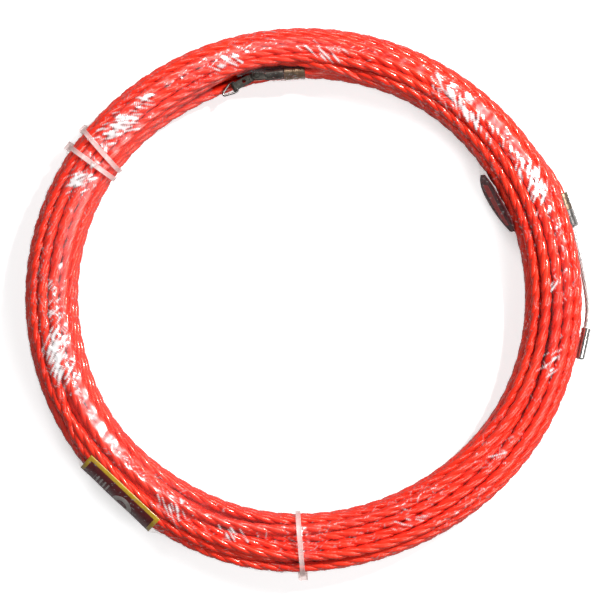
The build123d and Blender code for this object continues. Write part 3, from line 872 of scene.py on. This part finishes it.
def film_relief(theta, way):
    """How far the film stands off what is under it, and how much painted white glare, standing in for the
    lamps' reflection, lies on it.
    """
    around = way * FILM_SECTION_RADIUS
    swing = around + 5.0 * math.sin(theta * 23) + 3.0 * math.sin(theta * 37 + 1.0)
    slant = around - 4.5 * math.sin(theta * 31 + 2.0)
    c, s = math.cos(theta) * FILM_RADIUS, math.sin(theta) * FILM_RADIUS
    long = ridge(Vector((c / 30, s / 30, swing / 3.0)), 5)
    gate = max(0.0, noise.noise(Vector((c / 45, s / 45, around / 14 + 40))) + 0.15)
    slanted = ridge(Vector((c / 11, s / 11, slant / 2.6 + 9)), 6)
    gate_two = max(0.0, noise.noise(Vector((c / 26, s / 26, around / 9 + 80))) + 0.1)
    rise = 0.5 * long * gate + 0.55 * slanted * gate_two
    rise += 0.1 * (1 + noise.noise(Vector((c / 3.1, s / 3.1, around / 2.4))))
    # painted glare: white along the sharpest slanted wrinkles, where the lamps' reflection would glint
    painted_glare = min(0.4, max(0.0, slanted * 5 - 3.3) * gate_two * 3)
    for direction, place_round, along, across, strength in CRUMPLES:
        da = (math.degrees(theta) - direction + 180) % 360 - 180
        db = (math.degrees(way) - place_round + 180) % 360 - 180
        x, y = da * 2.5, db * 0.27
        q = ((x + 0.5 * y) / along) ** 2 + (y / across) ** 2
        if q < 3.5:
            fine = ridge(Vector((c / 5, s / 5, around / 3.2 + 5)), 2)
            streak = noise.noise(Vector(((x + 1.1 * y) / 1.7, y / 5.0, direction)))
            rise += strength * math.exp(-q) * 0.8 * fine
            # painted glare: a white patch over each crumple, standing in for the lamps' blown-out reflection
            # there
            body = strength * math.exp(-0.8 * q) + 1.1 * streak - 0.5
            painted_glare = max(painted_glare, min(1.0, max(0.0, body * 4.5)))
    return rise, painted_glare


def film_window(points):
    """Which points lie where the link, the pin, the ring and the ties' heads stick out of the film."""
    c, s = math.cos(math.radians(LINK_HEADING)), math.sin(math.radians(LINK_HEADING))
    x, y = points[:, 0] - LINK_PIN[0], points[:, 1] - LINK_PIN[1]
    along, across, up = c * x + s * y, -s * x + c * y, points[:, 2] - LINK_PIN[2]
    ragged = 0.5 * np.sin(points[:, 0] * 2.1 + points[:, 2] * 1.7)
    link = (along > -6.0 + ragged) & (along < 15) & (across > -3.6) & (np.abs(up) < 4.9 + ragged)
    ring = (along > 11) & (along < 26.0 + ragged) & (across > -5) & (up > -5.2) & (up < 14)
    gone = (link | ring) & (across < 13)
    for name, ((x, y), heading, high) in TIES.items():
        c, s = math.cos(math.radians(heading)), math.sin(math.radians(heading))
        along = c * (points[:, 0] - x) + s * (points[:, 1] - y) - tie_ends(name)[1]
        across = -s * (points[:, 0] - x) + c * (points[:, 1] - y)
        gone |= (along > -2) & (np.abs(across) < 2.9) & (np.abs(points[:, 2] - high) < 3.2 + 0.6 * ragged)
    return gone


def film_piece():
    """The clear wrap, stretched over the turns and all that is tied to them, with its lap underneath."""
    theta = np.arange(FILM_STATIONS) * 2 * math.pi / FILM_STATIONS
    ways = np.arange(FILM_WAYS) * 2 * math.pi / FILM_WAYS
    support = film_supports(theta, ways)
    way = np.linspace(-math.pi / 2, 1.5 * math.pi + FILM_LAP, FILM_ROUND)
    between = way[:, None] - ways[None]
    facing = np.cos(between)
    usable = facing > 0.3
    facing = np.where(usable, facing, 1)
    reach = np.stack([np.where(usable, row[None] / facing, 99).min(1) for row in support])
    for span in (2, 1):
        reach = np.maximum(reach, (np.roll(reach, span, 0) + np.roll(reach, -span, 0)) / 2)
    crease, painted_glare = np.moveaxis(np.array([[film_relief(t, w) for w in way] for t in theta]), -1, 0)
    under = np.clip(1 + 1.6 * np.sin(way), 0, 1)[None]
    tuck = 0.3 * np.clip(1 - (way + math.pi / 2) / FILM_LAP, 0, 1)[None]
    reach = reach + crease * under - tuck
    middle = ring_middle(theta)[:, None]
    far = middle + reach * np.cos(way)[None]
    up = np.maximum(MIDDLE_HEIGHT + reach * np.sin(way)[None], 0.06 + tuck)
    points = np.stack([far * np.cos(theta)[:, None], far * np.sin(theta)[:, None], up], -1).reshape(-1, 3)
    i, j = np.meshgrid(np.arange(FILM_STATIONS), np.arange(FILM_ROUND - 1), indexing="ij")
    ni, nj = (i + 1) % FILM_STATIONS, j + 1
    faces = np.stack([i * FILM_ROUND + j, ni * FILM_ROUND + j, ni * FILM_ROUND + nj, i * FILM_ROUND + nj], -1)
    faces = faces.reshape(-1, 4)
    cut = film_window(points)
    faces = faces[~cut[faces].any(1)]
    used, faces = np.unique(faces, return_inverse=True)
    faces = faces.reshape(-1, 4).tolist()
    film = mesh_piece("film_wrap_clear", points[used], faces, "coil", film_look())
    number_on(film, "crease", crease.reshape(-1)[used])
    # the painted white glare, read by the film's look
    number_on(film, "painted_glare", painted_glare.reshape(-1)[used])
    # painted sheen: more gloss share on the film's left inner side, where the light catches it
    left = np.clip(0.35 - 1.0 * np.cos(theta), 0, 1)[:, None] * np.clip(0.6 - 0.7 * np.cos(way), 0, 1)[None]
    number_on(film, "painted_sheen_side", left.reshape(-1)[used])
    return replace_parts(film, "film_wrap")


# ---------------------------------------------------------------- the pieces

camera()
studio()
NYLON = nylon_look()
tape_path = route_spline("tape_route", tape_route(), 7)
ROPE_BOW = ((159.9, 17.6, 10.5), (162.9, 1.0, 10.5))
rope_points = [
    place(LEAD_START, LEAD_HEADING, 13.4), place(LEAD_START, LEAD_HEADING, 26.4),
    *ROPE_BOW,
    place(TIP_START, TIP_HEADING, -5.5), place(TIP_START, TIP_HEADING, 7.0),
]
rope_path = route_spline("leader_route", rope_points, 24)

points, faces, along, around = laid_rope(tape_path, 3, STRAND, LAID_AT, LAY, 9)
tape = mesh_piece("tape_rod", points, faces, "coil", tape_look())
number_on(tape, "along", along)
number_on(tape, "around", around)
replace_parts(tape, "rod_coil", "rod_lead_run", "rod_tail_run")
brass = metal_look("brass", (0.14, 0.095, 0.065), (0.38, 0.28, 0.18), 0.25, 0.45)
plated = metal_look("plated_steel", (0.55, 0.54, 0.52), (0.82, 0.81, 0.79), 0.1, 0.25)
grey = metal_look("grey_steel", (0.06, 0.058, 0.05), (0.2, 0.19, 0.165), 0.25, 0.45)
wire = metal_look("ring_steel", (0.2, 0.19, 0.18), (0.42, 0.4, 0.38), 0.15, 0.3)
LOOKS = {"brass": brass, "plated_steel": plated, "grey_steel": grey}
turned = {node: turned_piece(node, *shape) for node, shape in FITTINGS.items()}

steel = metal_look("wire_rope_steel", (0.5, 0.48, 0.47), (0.85, 0.82, 0.8), 0.3, 0.5)
points, faces, _, _ = laid_rope(rope_path, 6, 0.58, 1.08, 15.0, 8)
leader = mesh_piece("leader_strands", points, faces, "coil", steel)
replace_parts(leader, "leader_rope")

for node, look in {"tail_adapter": grey, "link_pin": grey, "tail_link": grey, "tail_ring": wire}.items():
    nodes[node].data.materials.clear()
    nodes[node].data.materials.append(look)

film = film_piece()
for name in TIES:
    tie_piece(name)
card_piece()
leaflet_piece()
